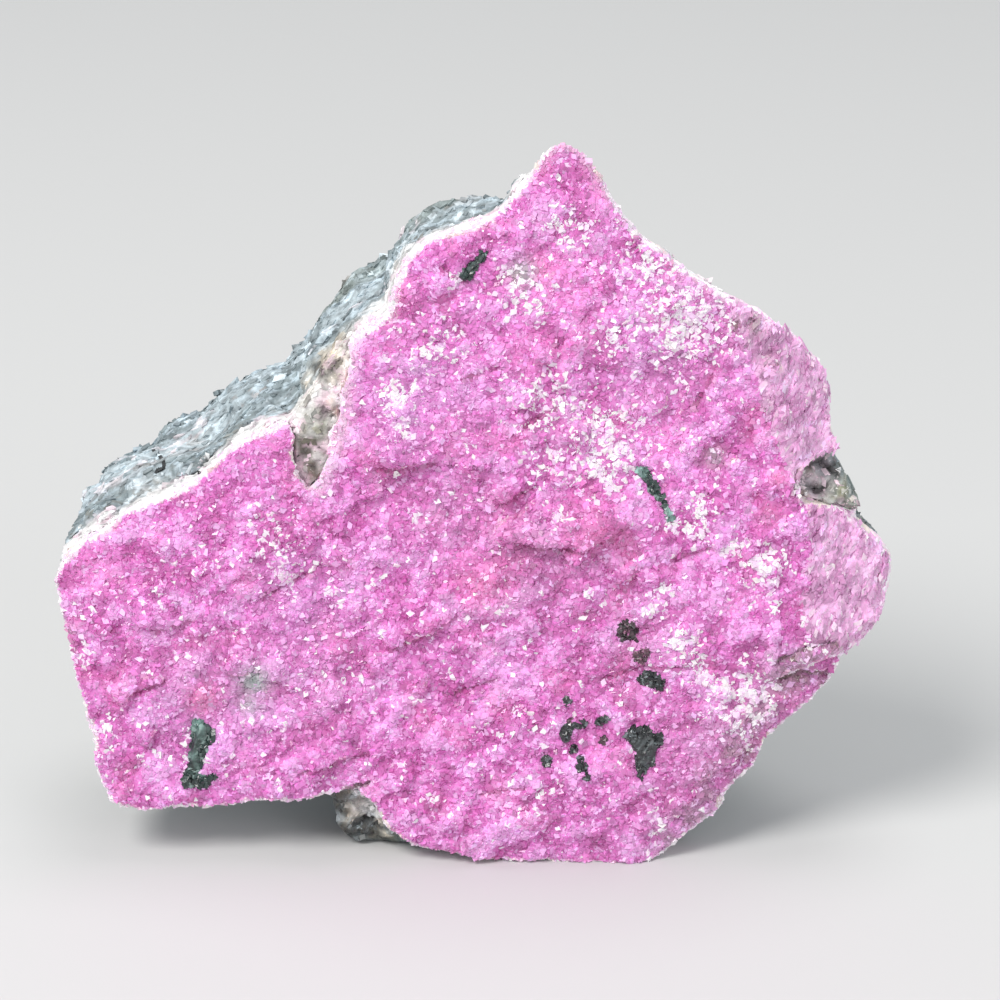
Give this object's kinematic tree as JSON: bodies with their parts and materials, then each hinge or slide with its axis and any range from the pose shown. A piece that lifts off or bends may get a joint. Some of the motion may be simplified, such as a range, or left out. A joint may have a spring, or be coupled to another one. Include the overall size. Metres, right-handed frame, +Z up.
{
  "type": "mineral specimen",
  "caption": "Hand specimen of pink cobalt-bearing dolomite: a druse of small rhombs on a slab of grey rock, standing upright on its broken lower edge as a display piece.",
  "frame": {"origin": "middle of the bounding box at the level that the specimen rests on", "axes": "+X to the right along the width, +Y back into the rock, away from the pink face, +Z up"},
  "size_m": [0.0636, 0.0266, 0.0547],
  "materials": {
    "pink_druse": "sugary, glossy crystal faces",
    "grey_rock": "matte broken rock",
    "malachite": "silky",
    "heterogenite": "dull black with a slight shine"
  },
  "bodies": {
    "root": {"matrix_rock": "grey_rock", "dolomite_crust": "pink_druse", "malachite_blade": "malachite", "malachite_sliver": "malachite", "malachite_splinter": "malachite", "heterogenite_knot": "heterogenite", "heterogenite_patch": "heterogenite", "heterogenite_grain": "heterogenite", "heterogenite_chain": "heterogenite"}
  },
  "joints": []
}
